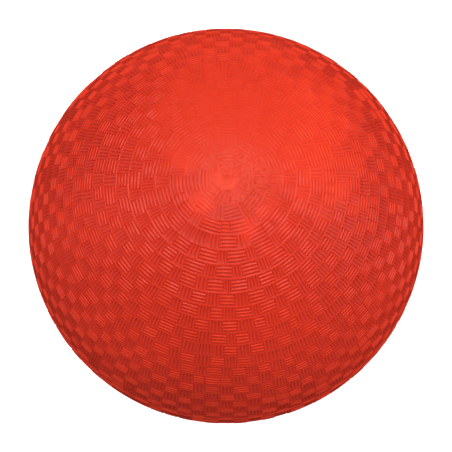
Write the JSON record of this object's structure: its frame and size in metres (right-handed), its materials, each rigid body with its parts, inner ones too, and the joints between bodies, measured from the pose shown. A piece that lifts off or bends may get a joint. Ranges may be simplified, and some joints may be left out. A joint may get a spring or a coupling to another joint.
{
  "type": "playground ball",
  "caption": "Inflated red rubber play ball with a moulded basket-weave grip cover, a wound inner wall, a bladder and a self-sealing needle valve.",
  "frame": {"origin": "centre of the ball", "axes": "+Z along the mould axis, out through the smooth cap in the middle of the weave; +Y out through the inflating valve, which sits on the mould's parting line; +X completes the frame"},
  "size_m": [0.216, 0.2159, 0.216],
  "materials": {
    "cover_rubber": "satin moulded rubber with a basket-weave relief",
    "winding_thread": "rubberised nylon thread",
    "bladder_rubber": "smooth matt",
    "patch_rubber": "fabric-faced matt",
    "housing_rubber": "satin",
    "plug_rubber": "soft matt"
  },
  "bodies": {
    "root": {"outer_cover": "cover_rubber", "nylon_winding": "winding_thread", "bladder": "bladder_rubber", "valve_patch": "patch_rubber", "valve_housing": "housing_rubber", "valve_plug": "plug_rubber"}
  },
  "joints": []
}
